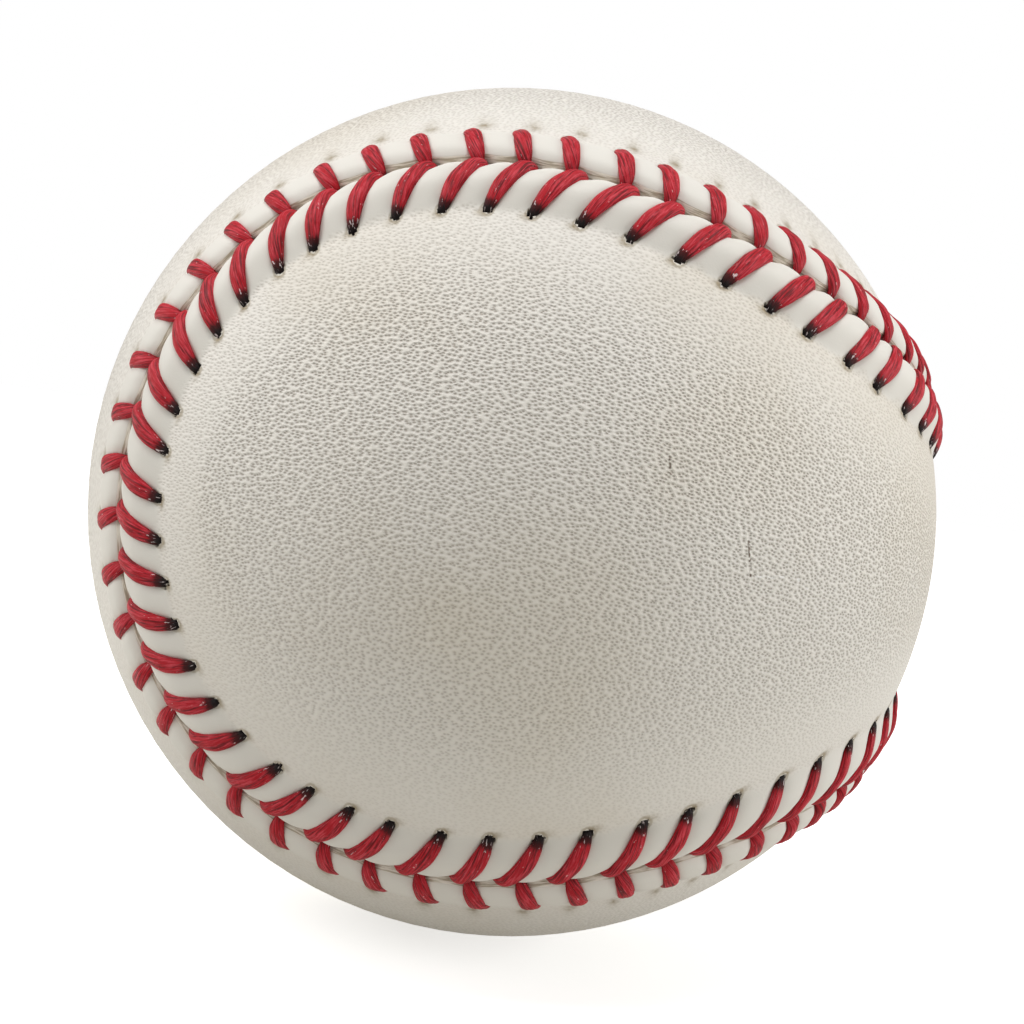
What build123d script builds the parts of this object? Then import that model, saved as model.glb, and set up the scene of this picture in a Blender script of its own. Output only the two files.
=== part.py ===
"""A laced baseball, in millimetres.

A cushioned cork core is wound with four layers of yarn and covered with two figure-eight
panels of leather.  The panels are laced edge to edge with 108 double stitches, and the
lacing runs under the leather on its way to the next hole, which lifts the seam into a ridge.

Frame: origin at the centre of the ball, +X through the waist of the first cover panel,
the lobes of that panel at +Y and -Y, and the lobes of the second panel at +Z and -Z.
"""
from build123d import *
import os
from bisect import bisect
from math import cos, hypot, pi, sin, sqrt, tan

# ---- core and windings, from the middle outwards ----
core_diameter = 20.6        # cork composition ball, 13/16 in
black_rubber = 4.0          # wall of the two inner half shells
washer_thickness = 1.2      # ring between the rims of the half shells
red_rubber = 2.4            # wall of the two moulded halves round them
inner_grey_wool = 14.65     # four-ply wool, wound to 7 3/4 in round
white_wool = 1.75           # three-ply wool, wound to 8 3/16 in round
outer_grey_wool = 2.25      # three-ply wool, wound to 8 3/4 in round
finishing_yarn = 0.5        # fine cotton, wound to 8 7/8 in round

# ---- cover ----
leather = 1.15              # thickness of the two panels
waist_width = 28.5          # across the narrow middle of a panel
lobe_fullness = 0.55        # third harmonic of the seam: more gives rounder lobes
seam_gap = 0.3              # between the edges of the two panels
edge_thickness = 0.45       # the leather's edge, pared down before sewing
hole_land = 0.125           # ridge left between a hole and the smooth leather
overlap_at_foot = 0.35      # how far the ridge runs into the smooth leather
foot_depth = 0.06           # of the ridge's foot below the smooth outside
foot_lift = 0.3             # of the ridge's foot above the windings
roof_share = 0.95           # how far towards the holes the leather is lifted off the windings
crown = ((0.93, 0.70), (0.62, 1.0), (0.27, 0.86))   # ridge outline, as shares of offset and height

# ---- lacing ----
stitches = 108              # double stitches round the seam
hole_offset = 4.4           # from the seam to each row of holes
hole_width = 1.25           # across the flats of a hole
thread_width = 1.0          # waxed thread, pressed flat
thread_thickness = 0.7
lacing_clearance = 0.12     # between the thread and what it passes
first_dive = 1.8            # how far ahead of its hole the lower strand goes down
second_dive = 2.95          # the same for the strand that goes down after it
strand_way = ((0.03, 0.90), (0.40, 0.62), (0.80, 0.27))   # ahead and across, as shares of dive and offset
hole_rise = 0.05            # of the thread's middle above the leather where it leaves a hole
tucked_end = 0.45           # share of the last run at which a thread ends

# ---- what follows from these ----
core_radius = core_diameter / 2
black_radius = core_radius + black_rubber
red_radius = black_radius + red_rubber
inner_grey_radius = red_radius + inner_grey_wool
white_radius = inner_grey_radius + white_wool
outer_grey_radius = white_radius + outer_grey_wool
wound_radius = outer_grey_radius + finishing_yarn
ball_radius = wound_radius + leather

half_gap = seam_gap / 2
smooth_border = hole_offset + hole_width / 2 + hole_land
ridge_foot = smooth_border + overlap_at_foot
slot_half_width = hypot(thread_width, thread_thickness) / 2 + lacing_clearance
under_run = thread_thickness / 2 + lacing_clearance - leather
channel_roof = thread_thickness + 2 * lacing_clearance - leather
ridge_crest = channel_roof + leather

# ---- the seam ----
# The seam is the curve x = c sin 2t, y = cos t + b cos 3t, z = sin t - b sin 3t, turned an
# eighth of a turn about X and pushed out to the ball.  c follows from the waist of a panel.
seam_steps = 4000
waist_factor = (1 - lobe_fullness) / tan(waist_width / 2 / ball_radius)


def seam_direction(turn):
    """The direction of the seam from the centre of the ball, for a turn of 0 to 2 pi."""
    y = cos(turn) + lobe_fullness * cos(3 * turn)
    z = sin(turn) - lobe_fullness * sin(3 * turn)
    x = waist_factor * sin(2 * turn)
    return Vector(x, (y - z) / sqrt(2), (y + z) / sqrt(2)).normalized()


seam_turns = [2 * pi * step / seam_steps for step in range(seam_steps + 1)]
seam_lengths = [0.0]
for start, end in zip(seam_turns, seam_turns[1:]):
    run = (seam_direction(end) - seam_direction(start)).length * ball_radius
    seam_lengths.append(seam_lengths[-1] + run)
seam_length = seam_lengths[-1]
pitch = seam_length / stitches


def on_ball(along, across, height):
    """The point this far along the seam, across it towards the first panel, and above the leather."""
    along %= seam_length
    step = min(bisect(seam_lengths, along), seam_steps)
    share = (along - seam_lengths[step - 1]) / (seam_lengths[step] - seam_lengths[step - 1])
    turn = seam_turns[step - 1] + share * (seam_turns[step] - seam_turns[step - 1])
    up = seam_direction(turn)
    ahead = (seam_direction(turn + 0.001) - seam_direction(turn - 0.001)).normalized()
    aside = up.cross(ahead).normalized()
    angle = across / ball_radius
    return (up * cos(angle) + aside * sin(angle)) * (ball_radius + height)


def up_at(along):
    """The direction straight out of the ball at a place on the seam."""
    return on_ball(along, 0, 0).normalized()


# ---- core and windings ----
def ball(radius):
    return Solid.make_sphere(radius, angle1=-90, angle2=90)


def layer(inner, outer):
    """A hollow ball between two radii."""
    return ball(outer) - ball(inner)


def slab(axis_plane, low, high):
    """A block wider than the ball, between two heights above a plane through its centre."""
    width = 3 * ball_radius
    return extrude(axis_plane.offset(low) * Rectangle(width, width), high - low)


def cork_core():
    return ball(core_radius)


def black_rubber_half(side):
    """A hemispherical shell whose rim stops at the washer."""
    rim, outside = washer_thickness / 2, 2 * ball_radius
    keep = slab(Plane.XY, rim, outside) if side > 0 else slab(Plane.XY, -outside, -rim)
    return layer(core_radius, black_radius) & keep


def rubber_washer():
    """The ring that joins the rims of the two black half shells."""
    return layer(core_radius, black_radius) & slab(Plane.XY, -washer_thickness / 2, washer_thickness / 2)


def red_rubber_half(side):
    """One of the two moulded halves, with their joint square to that of the black shells."""
    outside = 2 * ball_radius
    keep = slab(Plane.YZ, 0, outside) if side > 0 else slab(Plane.YZ, -outside, 0)
    return layer(black_radius, red_radius) & keep


# ---- cover panels ----
def ridge_top():
    """The outside of the ridge from its foot to the seam, as (across, height) pairs."""
    return [(ridge_foot, -foot_depth)] + [(v * hole_offset, h * ridge_crest) for v, h in crown]


def ridge_height(across):
    """The height of the ridge's outside, this far from the seam."""
    outline = ridge_top() + [(half_gap, channel_roof + edge_thickness)]
    for (far, far_height), (near, near_height) in zip(outline, outline[1:]):
        if near <= across <= far:
            return near_height + (far_height - near_height) * (across - near) / (far - near)
    return channel_roof + edge_thickness


def ridge_section(along, side, edge):
    """A closed outline square to the seam: over the ridge, round the edge and back below it."""
    below = [(edge, channel_roof), (roof_share * hole_offset, channel_roof)]
    foot = [(ridge_foot, foot_lift - leather)]
    outline = ridge_top() + [(edge, ridge_height(edge))] + below + foot
    return Wire.make_polygon([on_ball(along, side * v, h) for v, h in outline], close=True)


def ridge(side):
    """The raised rim of a panel, with a slot in its edge where each pair of strands goes down.

    The thread turns as it goes down, so the slot clears it from corner to corner.
    """
    slot_end = first_dive - thread_width / 2 - lacing_clearance
    slot_start = second_dive + thread_width / 2 + lacing_clearance
    between = (slot_end + slot_start - pitch) / 2
    sections = []
    for stitch in range(stitches):
        hole_at = stitch * pitch
        sections.append(ridge_section(hole_at - slot_start, side, slot_half_width))
        sections.append(ridge_section(hole_at - slot_end, side, slot_half_width))
        sections.append(ridge_section(hole_at - between, side, half_gap))
    return Solid.make_loft(sections + sections[:1], ruled=True)


def smooth_leather(side):
    """The part of the leather ball inside one panel's ridge."""
    corners = [(stitch * pitch, side * smooth_border) for stitch in range(stitches)]
    inner = [on_ball(along, across, -3 * leather) for along, across in corners]
    outer = [on_ball(along, across, 2 * leather) for along, across in corners]
    walls = []
    for here in range(stitches):
        after = (here + 1) % stitches
        walls.append(Face(Wire.make_polygon([inner[here], inner[after], outer[after], outer[here]], close=True)))
    pieces = layer(wound_radius, ball_radius).split(Shell(walls), keep=Keep.ALL)
    return max(pieces.solids(), key=lambda piece: side * piece.center().X)


def hole(along, side):
    """The tool for one stitch hole, straight out of the ball."""
    middle = on_ball(along, side * hole_offset, -1.5 * leather)
    flats = Plane(origin=middle, x_dir=up_at(along).cross(up_at(along + 1)), z_dir=middle.normalized())
    outline = flats * RegularPolygon(hole_width / 2, 6, major_radius=False)
    return extrude(outline, 4 * leather).solid()


def cover_panel(side):
    holes = [hole(stitch * pitch, side) for stitch in range(stitches)]
    return smooth_leather(side).fuse(ridge(side).cut(*holes).solid()).solid()


# ---- lacing ----
def strand_route(hole_at, side, dive):
    """One strand: up through its hole, over the ridge, and down between the panels."""
    lift = thread_thickness / 2 + lacing_clearance
    points = [
        on_ball(hole_at, side * hole_offset, under_run),
        on_ball(hole_at, side * hole_offset, ridge_height(hole_offset) + hole_rise),
    ]
    for ahead, across in strand_way:
        distance = across * hole_offset
        height = ridge_height(distance) + lift
        points.append(on_ball(hole_at - ahead * dive, side * distance, height))
    down = hole_at - dive
    points.append(on_ball(down, side * lacing_clearance, ridge_crest))
    points.append(on_ball(down, 0, under_run))
    return points


def lacing_route(first_side):
    """The whole way of one needle: it sews the two panels in turn, all round the seam."""
    strands = []
    for stitch in range(stitches):
        side = first_side if stitch % 2 == 0 else -first_side
        dive = second_dive if side > 0 else first_dive
        strands += strand_route(-stitch * pitch, side, dive)
    gap = strands[0] - strands[-1]
    return [strands[0] - gap * tucked_end] + strands + [strands[-1] + gap * tucked_end]


def mitre_at(points, place):
    """The runs that arrive at and leave a point of the route, and the normal of their mitre."""
    here = points[place]
    before = points[place - 1] if place else here * 2 - points[1]
    after = points[place + 1] if place + 1 < len(points) else here * 2 - before
    arriving, leaving = (here - before).normalized(), (after - here).normalized()
    return arriving, leaving, (arriving + leaving).normalized()


def slide_to_mitre(corners, along, here, normal):
    """The same corners, moved along a run to the mitre at its end."""
    return [c + along * ((here - c).dot(normal) / along.dot(normal)) for c in corners]


def flat_section(here, leaving, normal, side):
    """The thread's six corners where a run begins, laid flat on the ball."""
    wide = leaving.cross(here).normalized() * (side * thread_width / 2)
    thick = leaving.cross(wide).normalized() * (thread_thickness / 2)
    shares = ((1, 0), (0.6, 1), (-0.6, 1), (-1, 0), (-0.6, -1), (0.6, -1))
    return slide_to_mitre([here + wide * x + thick * y for x, y in shares], leaving, here, normal)


def run_between(start, end):
    """The sides of one straight run.  A run that twists gets two triangles to a side."""
    sides = []
    for corner, after in enumerate(range(1 - len(start), 1)):
        a, b, c, d = start[corner], start[after], end[after], end[corner]
        off_plane = abs((c - a).dot((b - a).cross(d - a))) / (b - a).cross(d - a).length
        outlines = [(a, b, c, d)] if off_plane < 1e-6 else [(a, b, c), (a, c, d)]
        sides += [Face(Wire.make_polygon(outline, close=True)) for outline in outlines]
    return sides


def lacing_thread(first_side):
    """Straight runs with mitred joints, which twist only inside the holes and the seam."""
    points = lacing_route(first_side)
    per_stitch = len(strand_route(0, first_side, first_dive))
    corners, sections = [], []
    for place, here in enumerate(points):
        arriving, leaving, normal = mitre_at(points, place)
        stitch, step = divmod(place - 1, per_stitch)
        if place == 0 or step in (1, per_stitch - 1):
            corners = flat_section(here, leaving, normal, first_side if stitch % 2 == 0 else -first_side)
        else:
            corners = slide_to_mitre(corners, arriving, here, normal)
        sections.append(corners)
    faces = [Face(Wire.make_polygon(end, close=True)) for end in (sections[0], sections[-1])]
    for start, end in zip(sections, sections[1:]):
        faces += run_between(start, end)
    length = sum((end - start).length for start, end in zip(points, points[1:]))
    print(f"thread that starts on side {first_side:+d}: {length:.0f} mm, {length / 25.4:.1f} in")
    return Solid(Shell(faces))


pieces = {
    "cork_core": cork_core(),
    "black_rubber_upper": black_rubber_half(1),
    "black_rubber_lower": black_rubber_half(-1),
    "rubber_washer": rubber_washer(),
    "red_rubber_right": red_rubber_half(1),
    "red_rubber_left": red_rubber_half(-1),
    "grey_wool_inner": layer(red_radius, inner_grey_radius),
    "white_wool": layer(inner_grey_radius, white_radius),
    "grey_wool_outer": layer(white_radius, outer_grey_radius),
    "finishing_yarn": layer(outer_grey_radius, wound_radius),
    "cover_panel_one": cover_panel(1),
    "cover_panel_two": cover_panel(-1),
    "thread_first_needle": lacing_thread(1),
    "thread_second_needle": lacing_thread(-1),
}

os.makedirs("parts", exist_ok=True)
for name, piece in pieces.items():
    export_step(piece, f"parts/{name}.step", write_pcurves=False)
print(f"ball {2 * ball_radius:.2f} across, {2 * pi * ball_radius / 25.4:.2f} in round")
print(f"seam {seam_length:.1f} long, {pitch:.2f} from stitch to stitch, ridge {ridge_crest:.2f} high")
print(f"strands {second_dive - first_dive - thread_width:.2f} apart where they go down")
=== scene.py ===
from math import cos, hypot, pi, radians, sin, sqrt, tan

import bmesh
import bpy
import numpy as np
from mathutils import Matrix, Vector


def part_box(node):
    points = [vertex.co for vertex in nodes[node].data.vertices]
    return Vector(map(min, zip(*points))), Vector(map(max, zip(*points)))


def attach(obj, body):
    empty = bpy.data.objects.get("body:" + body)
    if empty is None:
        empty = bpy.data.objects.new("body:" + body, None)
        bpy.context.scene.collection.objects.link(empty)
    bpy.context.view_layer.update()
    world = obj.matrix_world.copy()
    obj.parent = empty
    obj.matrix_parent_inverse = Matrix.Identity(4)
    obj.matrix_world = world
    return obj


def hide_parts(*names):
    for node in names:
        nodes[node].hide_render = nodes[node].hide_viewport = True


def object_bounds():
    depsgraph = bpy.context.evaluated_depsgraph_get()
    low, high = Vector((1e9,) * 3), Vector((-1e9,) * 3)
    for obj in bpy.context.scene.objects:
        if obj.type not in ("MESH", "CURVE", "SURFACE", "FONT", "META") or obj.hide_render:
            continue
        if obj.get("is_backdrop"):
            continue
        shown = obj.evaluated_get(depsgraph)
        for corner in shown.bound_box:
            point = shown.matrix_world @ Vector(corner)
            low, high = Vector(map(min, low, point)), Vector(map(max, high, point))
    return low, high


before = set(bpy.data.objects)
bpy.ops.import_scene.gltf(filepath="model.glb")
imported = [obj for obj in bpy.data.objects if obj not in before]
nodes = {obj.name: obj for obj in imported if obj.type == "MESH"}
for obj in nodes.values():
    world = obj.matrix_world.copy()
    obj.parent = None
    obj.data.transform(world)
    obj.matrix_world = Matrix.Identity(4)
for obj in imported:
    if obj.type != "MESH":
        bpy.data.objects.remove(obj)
cad_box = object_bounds()

# ---------------------------------------------------------------------------------------
# Cork core.  A 13/16 in ball of ground cork pressed with rubber, the first piece of the
# ball.  It shows coarse brown cork grains with dark rubber between them.
MM = 0.001
cork_grain = 1.3 * MM
cork_brown = (0.45, 0.28, 0.15, 1)
cork_light = (0.62, 0.43, 0.26, 1)
cork_binder = (0.10, 0.055, 0.03, 1)


def new_material(name, roughness):
    """An empty Principled material, its shader and a way to add nodes to it."""
    material = bpy.data.materials.new(name)
    material.use_nodes = True
    tree = material.node_tree
    shader = tree.nodes["Principled BSDF"]
    shader.inputs["Roughness"].default_value = roughness

    def add(kind, **settings):
        node = tree.nodes.new("ShaderNode" + kind)
        for name, value in settings.items():
            if name.startswith("in_"):
                node.inputs[name[3:].replace("_", " ")].default_value = value
            else:
                setattr(node, name, value)
        return node

    return material, shader, add, tree.links.new


def ramp_between(add, stops):
    """A colour ramp with these (position, colour) stops."""
    node = add("ValToRGB")
    ramp = node.color_ramp
    while len(ramp.elements) < len(stops):
        ramp.elements.new(1.0)
    for element, (position, colour) in zip(ramp.elements, stops):
        element.position = position
        element.color = colour
    return node


def bump_from(add, link, shader, height, distance):
    """Raises the surface by this distance where the height is 1."""
    bump = add("Bump", in_Strength=1.0, in_Distance=distance)
    link(height, bump.inputs["Height"])
    link(bump.outputs["Normal"], shader.inputs["Normal"])


def dress(name, material):
    """Gives a node of the frame its finished material."""
    node = nodes[name]
    if not node.material_slots:
        node.data.materials.append(material)
    for slot in node.material_slots:
        slot.material = material


def pressed_cork():
    material, shader, add, link = new_material("pressed_cork", 0.8)
    place = add("TexCoord").outputs["Object"]
    grains = add("TexVoronoi", in_Scale=1 / cork_grain)
    edges = add("TexVoronoi", feature="DISTANCE_TO_EDGE", in_Scale=1 / cork_grain)
    tone = ramp_between(add, ((0.0, cork_brown), (1.0, cork_light)))
    gap = ramp_between(add, ((0.0, (0, 0, 0, 1)), (0.12, (1, 1, 1, 1))))
    mix = add("Mix", data_type="RGBA")
    link(place, grains.inputs["Vector"])
    link(place, edges.inputs["Vector"])
    link(grains.outputs["Color"], tone.inputs["Fac"])
    link(edges.outputs["Distance"], gap.inputs["Fac"])
    link(gap.outputs["Color"], mix.inputs["Factor"])
    mix.inputs[6].default_value = cork_binder
    link(tone.outputs["Color"], mix.inputs[7])
    link(mix.outputs[2], shader.inputs["Base Color"])
    bump_from(add, link, shader, gap.outputs["Color"], 0.1 * MM)
    return material


dress("cork_core", pressed_cork())

# ---------------------------------------------------------------------------------------
# Rubber layers.  Two black half shells are moulded over the cork and joined by a red
# washer, and two red halves are moulded round them.  The finish is dull, from the mould.
black_rubber = (0.03, 0.03, 0.03, 1)
red_rubber = (0.45, 0.06, 0.04, 1)


def moulded_rubber(name, colour):
    material, shader, add, link = new_material(name, 0.65)
    place = add("TexCoord").outputs["Object"]
    bloom = add("TexNoise", in_Scale=180.0, in_Detail=4.0)
    skin = add("TexNoise", in_Scale=4000.0, in_Detail=2.0)
    dusty = tuple(0.75 * c + 0.06 for c in colour[:3]) + (1,)
    tone = ramp_between(add, ((0.35, colour), (0.75, dusty)))
    link(place, bloom.inputs["Vector"])
    link(place, skin.inputs["Vector"])
    link(bloom.outputs["Fac"], tone.inputs["Fac"])
    link(tone.outputs["Color"], shader.inputs["Base Color"])
    bump_from(add, link, shader, skin.outputs["Fac"], 0.03 * MM)
    return material


for name in ("black_rubber_upper", "black_rubber_lower"):
    dress(name, moulded_rubber(name + "_rubber", black_rubber))
for name in ("rubber_washer", "red_rubber_right", "red_rubber_left"):
    dress(name, moulded_rubber(name + "_rubber", red_rubber))

# ---------------------------------------------------------------------------------------
# Windings.  Four-ply grey wool, three-ply white wool, three-ply grey wool and fine cotton
# are wound on under tension, each turn crossing the last at another angle.
grey_wool = (0.33, 0.32, 0.31, 1)
white_wool = (0.72, 0.69, 0.62, 1)
cotton = (0.78, 0.75, 0.68, 1)
winding_turns = ((0.3, 0.9, 0.2), (1.4, 0.2, 0.8), (0.8, 1.9, 1.3))   # three ways round the ball


def wound_yarn(name, colour, yarn_width):
    """Bands of yarn that run three ways round the ball, in patches that cross each other."""
    material, shader, add, link = new_material(name, 0.85)
    place = add("TexCoord").outputs["Object"]
    height = None
    for number, turn in enumerate(winding_turns):
        turned = add("Mapping")
        turned.inputs["Rotation"].default_value = turn
        bands = add("TexWave", in_Scale=pi / 10 / yarn_width, in_Distortion=1.5, in_Detail=2.0)
        link(place, turned.inputs["Vector"])
        link(turned.outputs["Vector"], bands.inputs["Vector"])
        if height is None:
            height = bands.outputs["Fac"]
            continue
        patches = add("TexNoise", in_Scale=90.0 + 40 * number, in_Detail=0.0)
        crossing = ramp_between(add, ((0.48, (0, 0, 0, 1)), (0.52, (1, 1, 1, 1))))
        mix = add("Mix")
        link(place, patches.inputs["Vector"])
        link(patches.outputs["Fac"], crossing.inputs["Fac"])
        link(crossing.outputs["Color"], mix.inputs["Factor"])
        link(height, mix.inputs["A"])
        link(bands.outputs["Fac"], mix.inputs["B"])
        height = mix.outputs["Result"]
    shadow = tuple(0.35 * c for c in colour[:3]) + (1,)
    tone = ramp_between(add, ((0.0, shadow), (0.5, colour)))
    link(height, tone.inputs["Fac"])
    link(tone.outputs["Color"], shader.inputs["Base Color"])
    bump_from(add, link, shader, height, 0.3 * yarn_width)
    return material


dress("grey_wool_inner", wound_yarn("four_ply_grey_wool", grey_wool, 1.6 * MM))
dress("white_wool", wound_yarn("three_ply_white_wool", white_wool, 1.3 * MM))
dress("grey_wool_outer", wound_yarn("three_ply_grey_wool", grey_wool, 1.3 * MM))
dress("finishing_yarn", wound_yarn("fine_cotton", cotton, 0.5 * MM))

# ---------------------------------------------------------------------------------------
# Cover.  Two figure-eight panels of alum-tanned cowhide are laced edge to edge.  Each is a
# collar that follows the seam, with its row of stitch holes, round a smooth middle.  The
# lacing pulls the edge down between the stitches, so the leather bulges into pillows.
# Lengths here are in millimetres, and the finished mesh is brought to metres.
leather = 1.15
wound_radius = (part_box("finishing_yarn")[1].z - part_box("finishing_yarn")[0].z) / 2 / MM
ball_radius = wound_radius + leather
waist_width = 28.5
lobe_fullness = 0.55
stitches = 108
hole_offset = 4.85
hole_length = 1.15          # along the strand
hole_width = 0.85
strand_start = 5.0          # from the seam to where a strand comes up, at the far end of its hole
thread_thickness = 0.75
crown_height = 1.0          # of the raised leather above the smooth ball
crown_end = 2.4             # from the seam to where the raised leather starts to lie down
ridge_foot = 5.3            # from the seam to where it lies down again
pillow_height = 0.14        # how far it bulges between the strands
arris = 0.42                # from the seam to the cut edge's upper corner
edge_roll = 1.1             # width of the rounding beside that corner
edge_drop = 0.36            # how far it drops there, as a share of the crown
cut_depth = 0.7             # depth of the cut edge
groove_depth = 0.3          # pressed in under each strand
groove_width = 0.7
notch = 0.48                # how far a strand draws the edge back
notch_width = 0.8
lifted_inside = 0.3         # how deep the inside of the raised leather lies under the smooth ball
panel_dives = {1: 3.1, -1: 0.95}   # how far a panel's strands lead their holes at the seam
stain_places = {            # smudges of dirt and painted hole shade, each from the middle of its hole: ahead, out, length and width
    1: (0.35, 0.55, 0.55, 0.35),
    -1: (-0.75, 1.55, 0.5, 0.65),
}
chance = np.random.default_rng(108)
hole_scatter = 0.14
dive_scatter = 0.05
hole_shift = {side: chance.normal(0, hole_scatter, stitches) for side in (1, -1)}
dive_share = {side: 1 + chance.normal(0, dive_scatter, stitches) for side in (1, -1)}
usual_drift, most_drift = 0.6, 2.0   # the second panel's holes run to one side, most past one lobe
most_at, most_over = 35.5, 7.5       # in stitches along the seam
drift_share = np.exp(-((np.arange(stitches) - most_at) / most_over) ** 2)
hole_shift[-1] -= usual_drift + (most_drift - usual_drift) * drift_share

waist_factor = (1 - lobe_fullness) / tan(waist_width / 2 / ball_radius)


def seam_direction(turn):
    """Unit vectors from the centre of the ball to the seam, for turns of 0 to 2 pi."""
    y = np.cos(turn) + lobe_fullness * np.cos(3 * turn)
    z = np.sin(turn) - lobe_fullness * np.sin(3 * turn)
    x = waist_factor * np.sin(2 * turn)
    ray = np.stack([x, (y - z) / sqrt(2), (y + z) / sqrt(2)], -1)
    return ray / np.linalg.norm(ray, axis=-1, keepdims=True)


seam_turns = np.linspace(0, 2 * pi, 4001)
seam_runs = np.linalg.norm(np.diff(seam_direction(seam_turns), axis=0), axis=1) * ball_radius
seam_lengths = np.concatenate([[0], np.cumsum(seam_runs)])
seam_length = seam_lengths[-1]
pitch = seam_length / stitches


def seam_frame(along):
    """Up, ahead and aside (towards the first panel) at these places along the seam."""
    turn = np.interp(along % seam_length, seam_lengths, seam_turns)
    up = seam_direction(turn)
    ahead = seam_direction(turn + 0.001) - seam_direction(turn - 0.001)
    ahead /= np.linalg.norm(ahead, axis=-1, keepdims=True)
    return up, ahead, np.cross(up, ahead)


def on_ball(along, across, height):
    """Points this far along the seam, across it towards the first panel, above the leather."""
    along, across, height = np.broadcast_arrays(along, across, height)
    up, ahead, aside = seam_frame(along)
    angle = (across / ball_radius)[..., None]
    return (up * np.cos(angle) + aside * np.sin(angle)) * (ball_radius + height)[..., None]


def ease(value, low, high):
    """0 below low, 1 above high and smooth between them."""
    share = np.clip((value - low) / (high - low), 0, 1)
    return share * share * (3 - 2 * share)


def strand_lead(across, side, stitch):
    """How far a strand leads its hole when it is this far from the seam."""
    share = np.clip(1 - across / strand_start, 0, 1)
    return panel_dives[side] * dive_share[side][stitch] * share ** 1.2


def from_strand(along, across, side):
    """Distance to the middle of the nearest strand, square to it."""
    nearest = np.full(np.shape(along), 1e9)
    slope = panel_dives[side] / strand_start
    guess = np.round((along + panel_dives[side] * np.clip(1 - across / strand_start, 0, 1)) / pitch)
    for neighbour in (-1, 0, 1):
        stitch = (guess + neighbour).astype(int) % stitches
        place = (guess + neighbour) * pitch + hole_shift[side][stitch]
        away = along - (place - strand_lead(across, side, stitch))
        nearest = np.minimum(nearest, np.abs(away))
    return nearest / hypot(1, slope)


def leather_height(along, across, side):
    """Height of the outside of a panel above the smooth ball."""
    roll = 1 - np.clip((across - arris) / edge_roll, 0, 1)
    cut = np.clip((arris - across) / (arris - collar_rows[0]), 0, 1)
    crown = crown_height * (1 - ease(across, crown_end, ridge_foot)) * (1 - edge_drop * roll ** 2.2)
    groove = np.exp(-(from_strand(along, across, side) / groove_width) ** 2)
    held = (1 - ease(across, ridge_foot - 1, ridge_foot)) * (1 - 0.6 * roll ** 2)
    return crown - cut_depth * cut + held * (pillow_height * (1 - groove) - groove_depth * groove)


def from_hole(along, across, side):
    """0 in the middle of the nearest stitch hole and 1 at its rim."""
    nearest = np.full(np.shape(along), 1e9)
    for neighbour in (-1, 0, 1):
        stitch = np.round(along / pitch) + neighbour
        index = stitch.astype(int) % stitches
        middle = stitch * pitch + hole_shift[side][index] - strand_lead(across, side, index)
        away = np.hypot((along - middle) / (hole_width / 2), (across - hole_offset) / (hole_length / 2))
        nearest = np.minimum(nearest, away)
    return nearest


def stain_round_hole(along, across, side):
    """1 in the middle of the nearest smudge beyond a stitch hole, 0 away from it: waxy dirt, and beyond
    the second panel's holes partly painted shade of the hole.
    """
    ahead, out, length, width = stain_places[side]
    darkest = np.zeros(np.shape(along))
    for neighbour in (-1, 0, 1):
        stitch = np.round(along / pitch) + neighbour
        middle = stitch * pitch + hole_shift[side][stitch.astype(int) % stitches]
        away = ((along - middle - ahead) / length) ** 2 + ((across - hole_offset - out) / width) ** 2
        darkest = np.maximum(darkest, np.exp(-away))
    return darkest


columns_per_stitch = 14
columns = stitches * columns_per_stitch
ragged_draws = 4096
ragged_rim = 0.12           # how much the rim of a hole is torn, as a share of its size
collar_radius = seam_length / 2 / pi
collar_rows = [0.12, 0.22, 0.32, 0.41, 0.45, 0.54, 0.68, 0.88, 1.1, 1.36, 1.64, 1.94, 2.26, 2.6, 2.95, 3.3,
               3.6, 3.85, 4.1, 4.35, 4.6, 4.85, 5.1, 5.35, 5.62, 5.95, 6.35, 7.1, 8.6]
border = 9.6                # where the coarse mesh of the smooth middle starts
coarse_columns = 216
middle_rows = 26
tip_turn = {1: 3 / 8, -1: 1 / 8}   # share of the seam at the tip of one lobe of a panel


def select_where(test):
    """Selects the faces whose middles pass a test, in edit mode."""
    mesh = bmesh.from_edit_mesh(bpy.context.object.data)
    bpy.ops.mesh.select_all(action="DESELECT")
    bpy.ops.mesh.select_mode(type="FACE")
    for face in mesh.faces:
        if test(face.calc_center_median()):
            face.select_set(True)
    bmesh.update_edit_mesh(bpy.context.object.data)


def flat_collar(side):
    """The collar before it is bent round the seam: a tube with its holes and thickness."""
    bpy.ops.object.select_all(action="DESELECT")
    start = (0, 0, collar_rows[0])
    bpy.ops.mesh.primitive_circle_add(vertices=columns, radius=collar_radius, location=start)
    bpy.ops.object.transform_apply(location=True)
    bpy.ops.object.mode_set(mode="EDIT")
    bpy.ops.mesh.select_mode(type="EDGE")
    bpy.ops.mesh.select_all(action="SELECT")
    for row, after in zip(collar_rows, collar_rows[1:]):
        bpy.ops.mesh.extrude_region_move(TRANSFORM_OT_translate={"value": (0, 0, after - row)})
    ragged = chance.normal(1, ragged_rim, ragged_draws)

    def in_hole(middle):
        along = np.arctan2(middle.y, middle.x) % (2 * pi) * collar_radius + tip_turn[side] * seam_length
        return from_hole(along, middle.z, side) < ragged[int(along * 7 + middle.z * 31) % ragged_draws]

    select_where(in_hole)
    bpy.ops.mesh.delete(type="FACE")
    bpy.ops.object.mode_set(mode="OBJECT")
    collar = bpy.context.object
    solidify = collar.modifiers.new("leather", "SOLIDIFY")
    solidify.thickness = leather
    solidify.offset = -1
    bpy.ops.object.modifier_apply(modifier="leather")
    return collar


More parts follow.
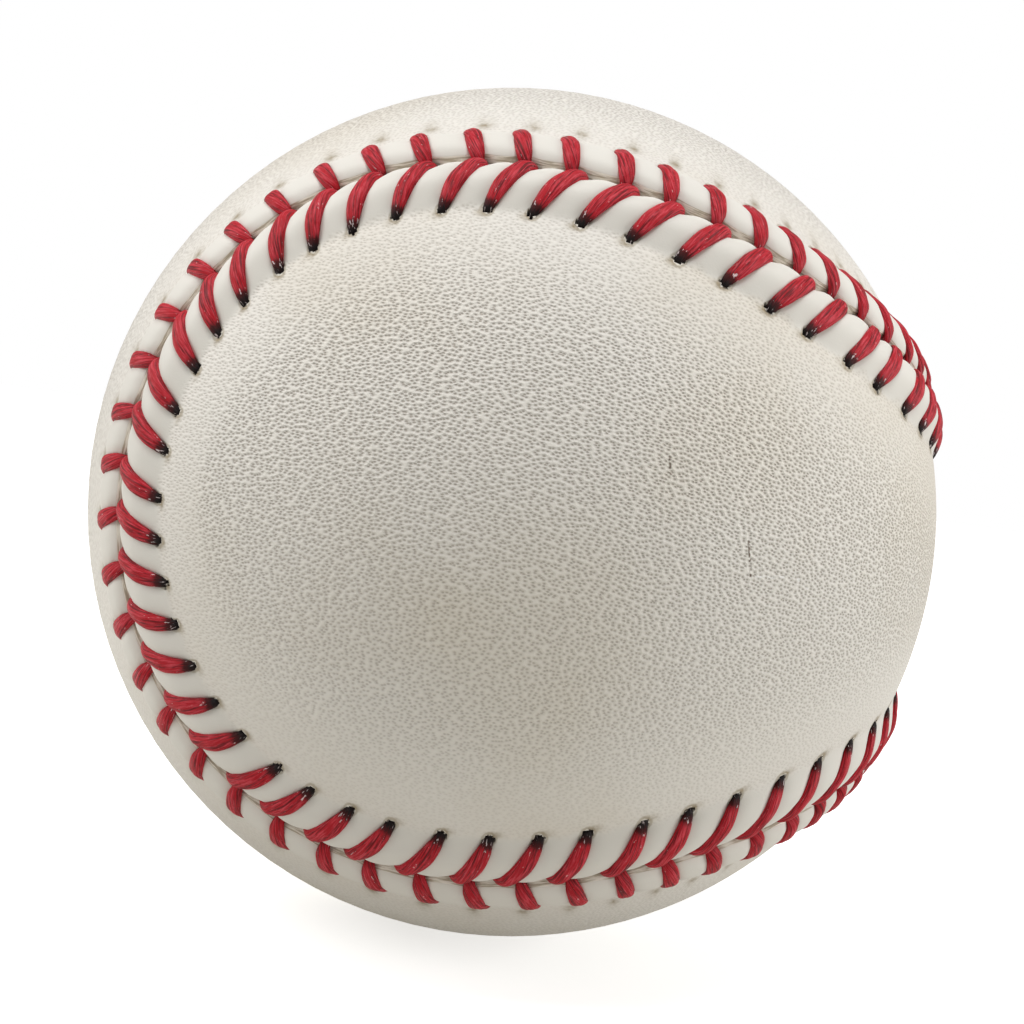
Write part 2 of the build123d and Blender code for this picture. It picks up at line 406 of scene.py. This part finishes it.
def bend_round_seam(collar, side):
    """Lays the collar along the seam, with its pillows, and notes where each point lies."""
    mesh = collar.data
    count = len(mesh.vertices)
    flat = np.zeros(count * 3, np.float32)
    mesh.vertices.foreach_get("co", flat)
    flat = flat.reshape(-1, 3).astype(float)
    radius = np.hypot(flat[:, 0], flat[:, 1])
    outside = radius > (radius.min() + radius.max()) / 2
    along = np.arctan2(flat[:, 1], flat[:, 0]) % (2 * pi) * collar_radius + tip_turn[side] * seam_length
    across = flat[:, 2]
    below = -leather + (leather - lifted_inside) * (1 - ease(across, ridge_foot - 1, ridge_foot))
    height = np.where(outside, leather_height(along, across, side), below)
    drawn = notch * np.exp(-(from_strand(along, 0 * across, side) / notch_width) ** 2) - 0.05
    bent = on_ball(along, side * (across + drawn * (1 - ease(across, 0.3, 1.9))), height) * MM
    mesh.vertices.foreach_set("co", bent.astype(np.float32).ravel())
    torn = 1 - ease(from_hole(along, across, side), 1.0, 2.2)
    stain = stain_round_hole(along, across, side)
    for label, values in (("along", along), ("across", across), ("torn", torn), ("stain", stain)):
        mesh.attributes.new(label, "FLOAT", "POINT").data.foreach_set("value", values.astype(np.float32))
    mesh.update()


def arc_between(start, end, shares):
    """Points on the great circle from one direction to another."""
    angle = start.angle(end)
    return [(start * sin((1 - s) * angle) + end * sin(s * angle)) / sin(angle) for s in shares]


def fill_middle(mesh, loop, side, radius, across_layer):
    """The smooth middle of a panel: arcs from each side of the seam to the other."""
    places = np.arange(coarse_columns) * seam_length / coarse_columns + tip_turn[side] * seam_length
    rays = [Vector(v).normalized() for v in on_ball(places, side * border, 0.0)]
    rim = [mesh.verts.new(ray * radius) for ray in rays]
    shares = [row / middle_rows for row in range(1, middle_rows)]
    half = coarse_columns // 2
    arcs = []
    for vertex in rim:
        vertex[across_layer] = border
    for column in range(1, half):
        arc = [mesh.verts.new(ray * radius) for ray in arc_between(rays[column], rays[-column], shares)]
        length = rays[column].angle(rays[-column]) * ball_radius
        for share, vertex in zip(shares, arc):
            vertex[across_layer] = border + min(share, 1 - share) * length
        arcs.append([rim[column]] + arc + [rim[-column]])
    faces = []
    for near, far in zip(arcs, arcs[1:]):
        faces += [(near[r], near[r + 1], far[r + 1], far[r]) for r in range(middle_rows)]
    for tip, arc in ((rim[0], arcs[0]), (rim[half], arcs[-1])):
        faces += [(tip, arc[r], arc[r + 1]) for r in range(middle_rows)]
    step = len(loop) // coarse_columns
    for column in range(coarse_columns):
        after = (column + 1) % coarse_columns
        fine = [loop[(column * step + s) % len(loop)] for s in range(step + 1)]
        faces.append([rim[column]] + fine + [rim[after]])
    for corners in faces:
        mesh.faces.new(corners)


def finish_panel(collar, side):
    """Opens the collar's deep end, joins the smooth middle to it inside and out, and smooths it."""
    mesh = bmesh.new()
    mesh.from_mesh(collar.data)
    across_layer = mesh.verts.layers.float["across"]
    along_layer = mesh.verts.layers.float["along"]
    last = collar_rows[-1] - 0.01
    walls = [f for f in mesh.faces if all(v[across_layer] > last for v in f.verts)]
    bmesh.ops.delete(mesh, geom=walls, context="FACES_ONLY")
    middle_radius = ball_radius - leather / 2
    rims = {True: [], False: []}
    for vertex in mesh.verts:
        if vertex[across_layer] > last:
            rims[vertex.co.length > middle_radius * MM].append(vertex)
    for outside, rim in rims.items():
        rim.sort(key=lambda v: v[along_layer])
        radius = (ball_radius if outside else wound_radius + 0.01) * MM
        fill_middle(mesh, rim, side, radius, across_layer)
    bmesh.ops.recalc_face_normals(mesh, faces=mesh.faces)
    mesh.to_mesh(collar.data)
    mesh.free()
    bpy.ops.object.shade_smooth_by_angle(angle=radians(40))


def cover_panel(side, name):
    collar = flat_collar(side)
    bend_round_seam(collar, side)
    finish_panel(collar, side)
    collar.name = name
    return collar


leather_tone = (0.785, 0.751, 0.694, 1)
leather_shade = (0.735, 0.686, 0.604, 1)
leather_warm = (0.70, 0.625, 0.49, 1)
pillow_tone = (0.76, 0.731, 0.672, 1)
# lighter tone for painted highlight on the grain between the pores, and dark tone for painted shade in the
# pores
painted_ridge_highlight = (0.88, 0.84, 0.77, 1)
painted_pore_shade = (0.30, 0.235, 0.175, 1)
cut_light = (0.95, 0.91, 0.82, 1)
cut_dark = (0.50, 0.44, 0.34, 1)
# colour of the dirt by the holes, also used as painted shade of the holes beyond the second panel's
# strands
stain_tone = (0.30, 0.235, 0.14, 1)
torn_dark = (0.06, 0.04, 0.025, 1)
torn_light = (0.72, 0.68, 0.60, 1)
scuff_dark = (0.20, 0.16, 0.12, 1)
scuff_light = (0.92, 0.90, 0.86, 1)
pore_spacing = 0.33 * MM
row_lean = 20                         # of the rows of pores, in degrees
row_stretch = (0.8, 1.2)              # pores are longer along a row than across it
grain_faint_below, grain_full_above = -26, 10     # heights between which the grain fades towards the underside: partly rubbed smoother, partly painted as the weaker light there
warm_patch = (-9.1, -10.9, 13.0)      # degrees round, degrees up, size in mm
scuffs = (                            # degrees round and up, lean from upright, length in mm, tone
    (14.5, 1.2, -14, 2.5, scuff_dark),
    (17.7, -0.6, -95, 2.6, scuff_light),
    (22.6, -0.9, -61, 1.7, scuff_light),
    (3.2, 10.3, -9, 1.2, scuff_dark),
)


def on_smooth_ball(round_degrees, up_degrees):
    """A direction from the centre, round from the front and up from the middle."""
    turn, rise = radians(round_degrees), radians(up_degrees)
    return Vector((sin(turn) * cos(rise), -cos(turn) * cos(rise), sin(rise)))


def surface_maths(add, link):
    """Soft thresholds, sums and colour mixes for a finish."""
    def put(value, socket):
        if isinstance(value, (int, float, tuple)):
            socket.default_value = value
        else:
            link(value, socket)

    def between(value, low, high, start=0.0, end=1.0):
        node = add("MapRange", interpolation_type="SMOOTHSTEP")
        link(value, node.inputs["Value"])
        for socket, number in zip(("From Min", "From Max", "To Min", "To Max"), (low, high, start, end)):
            node.inputs[socket].default_value = number
        return node.outputs["Result"]

    def maths(operation, first, second):
        node = add("Math", operation=operation)
        put(first, node.inputs[0])
        put(second, node.inputs[1])
        return node.outputs["Value"]

    def mix_colour(factor, first, second):
        node = add("Mix", data_type="RGBA")
        put(factor, node.inputs[0])
        put(first, node.inputs[6])
        put(second, node.inputs[7])
        return node.outputs[2]

    return between, maths, mix_colour


def full_grain_leather(name, lobe_axis, other_axis):
    """Warm off-white hide: soft smudges, rows of fine pores with painted shade in them and painted
    highlight on the grain between them, smooth pillows, a fibrous cut edge, and smudges by the holes that
    are dirt and partly painted shade.
    """
    material, shader, add, link = new_material(name, 0.62)
    shader.inputs["Specular IOR Level"].default_value = 0.3
    between, maths, mix_colour = surface_maths(add, link)
    place = add("TexCoord").outputs["Object"]
    across = add("Attribute", attribute_name="across").outputs["Fac"]
    along = add("Attribute", attribute_name="along").outputs["Fac"]
    torn = add("Attribute", attribute_name="torn").outputs["Fac"]
    stain = add("Attribute", attribute_name="stain").outputs["Fac"]

    def noise(scale, detail, vector=place):
        node = add("TexNoise", in_Scale=scale, in_Detail=detail)
        link(vector, node.inputs["Vector"])
        return node.outputs

    def distance_to(middle):
        node = add("VectorMath", operation="DISTANCE")
        link(place, node.inputs[0])
        node.inputs[1].default_value = middle
        return node.outputs["Value"]

    def scuff(turn, rise, lean, length):
        """1 on a short scratch, 0 beside it."""
        middle = on_smooth_ball(turn, rise) * ball_radius * MM
        east = Vector((cos(radians(turn)), sin(radians(turn)), 0))
        north = middle.normalized().cross(east)
        line = north * cos(radians(lean)) + east * sin(radians(lean))
        run = add("VectorMath", operation="DOT_PRODUCT")
        link(place, run.inputs[0])
        run.inputs[1].default_value = line
        half = length / 2 * MM
        offset = maths("SUBTRACT", run.outputs["Value"], middle.dot(line))
        held = maths("MAXIMUM", maths("MINIMUM", offset, half), -half)
        spot = add("VectorMath", operation="SCALE")
        spot.inputs[0].default_value = line
        link(held, spot.inputs["Scale"])
        shifted = add("VectorMath", operation="ADD")
        link(spot.outputs["Vector"], shifted.inputs[0])
        shifted.inputs[1].default_value = middle
        gap = add("VectorMath", operation="DISTANCE")
        link(place, gap.inputs[0])
        link(shifted.outputs["Vector"], gap.inputs[1])
        return between(gap.outputs["Value"], 0.03 * MM, 0.16 * MM, 1.0, 0.0)

    # the panel is spread flat about the middles of its lobes, so that its pores keep their size
    outward = add("VectorMath", operation="NORMALIZE")
    link(place, outward.inputs[0])
    axes = add("SeparateXYZ")
    link(outward.outputs["Vector"], axes.inputs["Vector"])
    lobe = maths("ABSOLUTE", axes.outputs[lobe_axis], 0.0)
    spread = maths("SQRT", maths("DIVIDE", 2.0, maths("ADD", lobe, 1.0)), 0.0)
    flat = add("CombineXYZ")
    link(maths("MULTIPLY", axes.outputs["X"], spread), flat.inputs["X"])
    link(maths("MULTIPLY", axes.outputs[other_axis], spread), flat.inputs["Y"])
    rows = add("Mapping")
    rows.inputs["Rotation"].default_value = (0, 0, radians(row_lean))
    cells = ball_radius * MM / pore_spacing
    rows.inputs["Scale"].default_value = (row_stretch[0] * cells, row_stretch[1] * cells, 1)
    link(flat.outputs["Vector"], rows.inputs["Vector"])
    pores = add("TexVoronoi", voronoi_dimensions="2D", in_Scale=1.0, in_Randomness=0.85)
    link(rows.outputs["Vector"], pores.inputs["Vector"])
    pore = pores.outputs["Distance"]

    edge_of_grain = maths("ADD", across, maths("MULTIPLY", noise(420.0, 2.0)["Fac"], 2.0))
    height = add("SeparateXYZ")
    link(place, height.inputs["Vector"])
    # The painted pore shade, the painted ridge highlight and the bumps of the grain are weaker towards the
    # underside: partly smoother, rubbed grain, partly painted shading for the less directional light that
    # falls there.
    grain_by_wear_and_light = between(height.outputs["Z"], grain_faint_below * MM, grain_full_above * MM, 0.5, 1.0)
    grain_by_wear_and_light = maths("MULTIPLY", grain_by_wear_and_light, between(across, ridge_foot, 17.0, 0.35, 1.0))
    grained = maths("MULTIPLY", between(edge_of_grain, 5.6, 6.4), grain_by_wear_and_light)
    pit = maths("MULTIPLY", between(pore, 0.05, 0.43, 1.0, 0.0), grained)
    ridge = maths("MULTIPLY", between(pore, 0.42, 0.72), grained)

    smudge = noise(42.0, 3.0)["Fac"]
    tone = mix_colour(between(smudge, 0.42, 0.70), leather_tone, leather_shade)
    patch = on_smooth_ball(*warm_patch[:2]) * ball_radius * MM
    warm = between(distance_to(patch), 0.2 * warm_patch[2] * MM, warm_patch[2] * MM, 0.55, 0.0)
    tone = mix_colour(maths("MULTIPLY", warm, between(smudge, 0.35, 0.60, 0.5, 1.0)), tone, leather_warm)
    tone = mix_colour(between(edge_of_grain, 5.6, 6.4), pillow_tone, tone)
    # painted highlight on the ridges of the grain, then painted shade in its pores
    tone = mix_colour(maths("MULTIPLY", ridge, 0.4), tone, painted_ridge_highlight)
    tone = mix_colour(maths("MULTIPLY", pit, 0.55), tone, painted_pore_shade)
    broken = between(noise(2400.0, 1.0)["Fac"], 0.40, 0.55)
    for turn, rise, lean, length, colour in scuffs:
        tone = mix_colour(maths("MULTIPLY", scuff(turn, rise, lean, length), broken), tone, colour)

    speck = noise(1500.0, 2.0)["Fac"]
    # waxy dirt beyond the holes; beyond the second panel's holes it is partly painted shade of the hole
    dirt_and_shade = maths("MULTIPLY", stain, between(speck, 0.30, 0.62, 0.45, 0.95))
    tone = mix_colour(dirt_and_shade, tone, stain_tone)
    frayed = maths("ADD", torn, maths("MULTIPLY", speck, 0.5))
    tone = mix_colour(maths("MULTIPLY", between(frayed, 0.55, 0.95), 0.5), tone, stain_tone)
    shred = mix_colour(between(noise(3000.0, 1.0)["Fac"], 0.44, 0.56), torn_dark, torn_light)
    tone = mix_colour(between(frayed, 1.05, 1.25), tone, shred)

    line = add("CombineXYZ")
    link(maths("MULTIPLY", along, 0.6), line.inputs["X"])
    link(maths("MULTIPLY", across, 16.0), line.inputs["Y"])
    fibres = noise(1.0, 3.0, line.outputs["Vector"])["Fac"]
    flesh = mix_colour(between(fibres, 0.38, 0.60), cut_dark, cut_light)
    tone = mix_colour(between(across, 0.42, 0.45, 1.0, 0.0), tone, flesh)
    link(tone, shader.inputs["Base Color"])

    depth = maths("SUBTRACT", maths("MULTIPLY", ridge, 0.5), pit)
    depth = maths("ADD", depth, maths("MULTIPLY", noise(7000.0, 2.0)["Fac"], 0.12))
    bump_from(add, link, shader, depth, 0.09 * MM)
    return material


for side, name, lobe_axis, other_axis in (
    (1, "cover_panel_one", "Y", "Z"),
    (-1, "cover_panel_two", "Z", "Y"),
):
    panel = cover_panel(side, name.replace("cover_panel", "laced_panel"))
    panel.data.materials.append(full_grain_leather(name + "_leather", lobe_axis, other_axis))
    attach(panel, "root")
    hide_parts(name)

# ---------------------------------------------------------------------------------------
# Lacing.  One waxed red cotton thread, sewn with a needle on each end, makes 108 double
# stitches.  Each needle comes up through a hole, lays its strand over the ridge, goes down
# between the panels and runs under the leather to the next hole of the other panel.
thread_half_width = 0.73
plies = 4
ply_lay = 24.0              # length in which a ply goes once round the thread
ply_crease = 0.11
ring_corners = plies * 5
strand_rise = {1: 4.65, -1: 4.85}  # where a strand lies flat, from the seam
strand_places = (4.15, 3.5, 2.8, 2.1, 1.45, 0.85)   # and on over the ridge
strand_bedding = 0.08       # how far it sinks into the leather
rise_bend = 0.12            # and further where it bends down into its hole
under_leather = -0.62       # height of its run inside the cover
strand_sizes = {                   # share of the full width at each control point of a strand
    1: (0.46, 0.5, 0.62, 0.82, 0.98, 1.06, 1.06, 1.0, 0.92, 0.8, 0.62),
    -1: (0.5, 0.74, 0.94, 0.98, 1.0, 1.0, 0.97, 0.93, 0.88, 0.78, 0.62),
}
strand_tucked = {                  # 1 where a strand is in its hole, 0 where it lies in the light
    1: (1, 1, 0.72, 0.25, 0.04, 0, 0, 0, 0, 0.25, 1.0),
    -1: (1, 0.5, 0.1, 0, 0, 0, 0, 0, 0, 0.25, 1.0),
}


def strand_controls(stitch, side, flip):
    """Control points and flat normals of one strand, as (along, across, height) and vectors."""
    hole = -stitch * pitch
    index = -stitch % stitches
    hole += hole_shift[side][index]
    reach = panel_dives[side] * dive_share[side][index]
    half = thread_thickness / 2
    points = [(hole, strand_start + 0.05, under_leather), (hole, strand_start, -0.15)]
    leans = [(0, 1, 0), (0, 0.8, 0.6)]
    for across in (strand_rise[side], *strand_places):
        lead = strand_lead(across, side, index)
        seat = leather_height(np.array([hole - lead]), np.array([across]), side)[0]
        points.append((hole - lead, across, seat + half - strand_bedding))
        leans.append((0, 0, 1))
    points[2] = (points[2][0], points[2][1], points[2][2] - rise_bend)
    points.append((hole - reach, 0.22, 0.4))
    leans.append((-0.6, -0.4, 0.5))
    points.append((hole - reach, 0.0, under_leather))
    leans.append((-0.8, -0.5, 0))
    along, across, height = (np.array(v, float) for v in zip(*points))
    place = on_ball(along, side * across, height)
    up, ahead, aside = seam_frame(along)
    lean = np.array(leans) * flip
    normal = ahead * lean[:, :1] + side * aside * lean[:, 1:2] + up * lean[:, 2:]
    return place, normal, np.array(strand_sizes[side]), np.array(strand_tucked[side])


def soften(values, steps):
    """A quadratic B-spline through the middles of the runs between control values."""
    shares = (np.arange(steps) / steps)[None, :, None]
    before, here, after = (v[:, None, :] for v in (values[:-2], values[1:-1], values[2:]))
    curve = ((1 - shares) ** 2 * before + (1 + 2 * shares * (1 - shares)) * here + shares ** 2 * after) / 2
    return curve.reshape(-1, values.shape[1])


def lacing(first_side, name):
    """The whole of one needle's thread, as a tube of twisted plies."""
    controls = []
    for stitch in range(stitches):
        side = first_side if stitch % 2 == 0 else -first_side
        place, normal, size, tucked = strand_controls(stitch, side, 1 if stitch % 2 == 0 else -1)
        controls.append(np.hstack([place, normal, size[:, None], tucked[:, None]]))
    track = soften(np.vstack(controls), 3)
    place, normal, size, tucked = track[:, :3], track[:, 3:6], track[:, 6], track[:, 7]
    tangent = np.gradient(place, axis=0)
    step = np.linalg.norm(tangent, axis=1)
    tangent /= step[:, None]
    wide = np.cross(tangent, normal)
    wide /= np.linalg.norm(wide, axis=1)[:, None]
    thick = np.cross(wide, tangent)
    length = np.cumsum(step)
    corner = np.arange(ring_corners) / ring_corners * 2 * pi
    angle = corner[None, :] + (length / ply_lay * 2 * pi)[:, None]
    crease = 1 - np.abs(np.sin(corner * plies / 2))
    lobe = 1 - ply_crease * crease ** 1.5
    half_wide = thread_half_width * size
    half_thick = thread_thickness / 2 * (0.7 + 0.3 * size)
    out = (half_wide[:, None] * np.cos(angle) * lobe)[..., None] * wide[:, None, :]
    out += (half_thick[:, None] * np.sin(angle) * lobe)[..., None] * thick[:, None, :]
    rings = (place[:, None, :] + out) * MM
    count = len(place)
    faces = []
    for ring in range(count - 1):
        base, above = ring * ring_corners, (ring + 1) * ring_corners
        for c in range(ring_corners):
            d = (c + 1) % ring_corners
            faces.append((base + c, base + d, above + d, above + c))
    faces.append(tuple(reversed(range(ring_corners))))
    faces.append(tuple(range((count - 1) * ring_corners, count * ring_corners)))
    mesh = bpy.data.meshes.new(name)
    mesh.from_pydata([tuple(v) for v in rings.reshape(-1, 3)], [], faces)
    for label, values in (("crease", np.tile(crease, count)), ("tucked", np.repeat(tucked, ring_corners))):
        mesh.attributes.new(label, "FLOAT", "POINT").data.foreach_set("value", values.astype(np.float32))
    around = [np.tile(np.cos(corner), count), np.tile(np.sin(corner), count)]
    lay = np.stack([*around, np.repeat(length, ring_corners)], 1).astype(np.float32)
    mesh.attributes.new("lay", "FLOAT_VECTOR", "POINT").data.foreach_set("vector", lay.ravel())
    thread = bpy.data.objects.new(name, mesh)
    bpy.context.scene.collection.objects.link(thread)
    bpy.ops.object.select_all(action="DESELECT")
    thread.select_set(True)
    bpy.context.view_layer.objects.active = thread
    bpy.ops.object.mode_set(mode="EDIT")
    bpy.ops.mesh.select_all(action="SELECT")
    bpy.ops.mesh.normals_make_consistent(inside=False)
    bpy.ops.object.mode_set(mode="OBJECT")
    bpy.ops.object.shade_smooth()
    return thread


thread_red = (0.46, 0.004, 0.014, 1)
thread_light = (0.66, 0.06, 0.085, 1)
# dark red: painted shade in the ply creases, dark streaks along the fibres, and the tucked ends, partly
# dark wax and partly painted shade
thread_dark_and_shade = (0.055, 0.0008, 0.0015, 1)
# near black: painted shade deep in the holes, partly dark wax
hole_shade_and_grime = (0.006, 0.002, 0.002, 1)
# pale colour for painted glints on the thread
painted_glint_tone = (0.88, 0.76, 0.76, 1)


def waxed_thread():
    """Deep red waxed cotton with fibres along it: painted shade in the creases between plies, black where
    it is tucked in, partly dark wax and partly painted shade, and pale flecks that are painted glints.
    """
    material, shader, add, link = new_material("waxed_thread", 0.5)
    shader.inputs["Specular IOR Level"].default_value = 0.22
    between, maths, mix_colour = surface_maths(add, link)
    lay = add("Attribute", attribute_name="lay").outputs["Vector"]
    crease = add("Attribute", attribute_name="crease").outputs["Fac"]
    tucked = add("Attribute", attribute_name="tucked").outputs["Fac"]

    def along_thread(across_scale, along_scale, detail):
        stretched = add("Mapping")
        stretched.inputs["Scale"].default_value = (across_scale, across_scale, along_scale)
        noise = add("TexNoise", in_Scale=1.0, in_Detail=detail, in_Roughness=0.6)
        link(lay, stretched.inputs["Vector"])
        link(stretched.outputs["Vector"], noise.inputs["Vector"])
        return noise.outputs["Fac"]

    fibre = along_thread(5.0, 0.8, 4.0)
    mottle = along_thread(2.0, 1.2, 3.0)
    red = mix_colour(between(fibre, 0.42, 0.68), thread_red, thread_light)
    streak = maths("MULTIPLY", between(along_thread(4.0, 0.35, 2.0), 0.54, 0.64), 0.75)
    # painted shade in the creases between plies, with dark streaks along the fibres
    painted_crease_shade = maths("MULTIPLY", between(crease, 0.62, 1.0), between(mottle, 0.38, 0.62, 0.15, 0.8))
    red = mix_colour(maths("MAXIMUM", painted_crease_shade, streak), red, thread_dark_and_shade)
    # darker towards the hole and the dive: partly dark wax, partly painted shade where the strand goes in
    ragged = maths("ADD", tucked, maths("MULTIPLY", fibre, 0.8))
    red = mix_colour(between(ragged, 0.58, 0.95), red, thread_dark_and_shade)
    red = mix_colour(between(ragged, 1.0, 1.3), red, hole_shade_and_grime)
    near_hole = between(tucked, 0.04, 0.4)
    # painted glints: pale flecks on the thread, more of them near the hole
    glint_flecks = maths("ADD", along_thread(2.4, 1.8, 2.0), maths("MULTIPLY", near_hole, 0.06))
    painted_glint = maths("MULTIPLY", between(glint_flecks, 0.69, 0.75), between(near_hole, 0.0, 1.0, 0.45, 0.8))
    link(mix_colour(painted_glint, red, painted_glint_tone), shader.inputs["Base Color"])
    bump_from(add, link, shader, fibre, 0.12 * MM)
    return material


waxed_red = waxed_thread()
for first_side, name in ((1, "thread_first_needle"), (-1, "thread_second_needle")):
    thread = lacing(first_side, name.replace("thread", "lacing"))
    thread.data.materials.append(waxed_red)
    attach(thread, "root")
    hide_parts(name)

# ---------------------------------------------------------------------------------------
# Stage.  The ball rests on a pale floor in front of nothing but white, with a soft lamp
# overhead, one high on the left and one low on the right.  The floor is white from a step
# away, and throws up more light behind the ball than in front of it.
floor_size = 4.0
floor_tone = (0.82, 0.82, 0.82, 1)
near_white, far_white = (0.05, 0.60), (0.45, 1.0)   # distance from the ball and own brightness
bounce_tone = (0.40, 0.392, 0.366, 1)
glow_tone = (1.0, 0.985, 0.925, 1)
front_glow = 0.25
back_glow = 1.25
bpy.ops.object.select_all(action="DESELECT")
bpy.ops.mesh.primitive_plane_add(size=floor_size, location=(0, 0, -ball_radius * MM))
floor = bpy.context.object
floor.name = "floor"
material, shader, add, link = new_material("pale_floor", 0.9)
shader.inputs["Base Color"].default_value = floor_tone
glow = add("Emission")
middle = add("TexCoord")
far = add("VectorMath", operation="LENGTH")
whiter = add("MapRange", interpolation_type="SMOOTHSTEP")
link(middle.outputs["Object"], far.inputs[0])
link(far.outputs["Value"], whiter.inputs["Value"])
for end, (distance, brightness) in (("Min", near_white), ("Max", far_white)):
    whiter.inputs["From " + end].default_value = distance
    whiter.inputs["To " + end].default_value = brightness
link(whiter.outputs["Result"], glow.inputs["Strength"])
bounce = add("BsdfDiffuse")
bounce.inputs["Color"].default_value = bounce_tone
point = add("NewGeometry")
outward = add("VectorMath", operation="NORMALIZE")
backward = add("SeparateXYZ")
fading = add("MapRange")
link(point.outputs["Position"], outward.inputs[0])
link(outward.outputs["Vector"], backward.inputs["Vector"])
link(backward.outputs["Y"], fading.inputs["Value"])
fading.inputs["To Min"].default_value = front_glow
fading.inputs["To Max"].default_value = back_glow
behind = add("Emission")
behind.inputs["Color"].default_value = glow_tone
link(fading.outputs["Result"], behind.inputs["Strength"])
thrown = add("AddShader")
link(bounce.outputs["BSDF"], thrown.inputs[0])
link(behind.outputs["Emission"], thrown.inputs[1])
seen = add("LightPath")
both = add("AddShader")
pick = add("MixShader")
output = material.node_tree.nodes["Material Output"]
link(shader.outputs["BSDF"], both.inputs[0])
link(glow.outputs["Emission"], both.inputs[1])
link(seen.outputs["Is Camera Ray"], pick.inputs["Fac"])
link(thrown.outputs["Shader"], pick.inputs[1])
link(both.outputs["Shader"], pick.inputs[2])
link(pick.outputs["Shader"], output.inputs["Surface"])
floor.data.materials.append(material)
floor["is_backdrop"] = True

room_light = 0.33
room_tone = (1.0, 0.995, 0.985, 1)
world = bpy.data.worlds.new("white_room")
bpy.context.scene.world = world
world.use_nodes = True
tree = world.node_tree
soft_light = tree.nodes["Background"]
soft_light.inputs["Strength"].default_value = room_light
soft_light.inputs["Color"].default_value = room_tone
white = tree.nodes.new("ShaderNodeBackground")
white.inputs["Color"].default_value = (1, 1, 1, 1)
camera_ray = tree.nodes.new("ShaderNodeLightPath")
choose = tree.nodes.new("ShaderNodeMixShader")
tree.links.new(camera_ray.outputs["Is Camera Ray"], choose.inputs["Fac"])
tree.links.new(soft_light.outputs["Background"], choose.inputs[1])
tree.links.new(white.outputs["Background"], choose.inputs[2])
tree.links.new(choose.outputs["Shader"], tree.nodes["World Output"].inputs["Surface"])

lamp_width = 0.35
soft_lamps = (              # place and watts
    ((0.0, -0.148, 0.553), 2.05),
    ((-0.495, 0.087, 0.29), 1.60),
    ((0.552, -0.148, 0.10), 1.70),
)
for place, power in soft_lamps:
    bpy.ops.object.light_add(type="AREA", location=place)
    lamp = bpy.context.object
    lamp.rotation_euler = Vector(place).to_track_quat("Z", "Y").to_euler()
    lamp.data.size = lamp_width
    lamp.data.energy = power

camera_turn, camera_rise, camera_roll = 13.8, 2.7, 8.6
camera_distance = 172.4 * MM
camera_lens = 67.9
turned = Matrix.Rotation(radians(camera_roll), 4, "Y") @ Matrix.Rotation(radians(camera_rise), 4, "X")
turned = (turned @ Matrix.Rotation(radians(camera_turn), 4, "Z")).inverted()
bpy.ops.object.camera_add()
camera = bpy.context.object
backed_off = Matrix.Translation((0, -camera_distance, 0)) @ Matrix.Rotation(pi / 2, 4, "X")
camera.matrix_world = turned @ backed_off
camera.data.lens = camera_lens
camera.data.sensor_width = 36
camera.data.sensor_fit = "HORIZONTAL"
camera.data.clip_start = 0.01
bpy.context.scene.camera = camera
bpy.context.scene.view_settings.view_transform = "Standard"

boxes = [[list(corner) for corner in box] for box in (cad_box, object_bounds())]
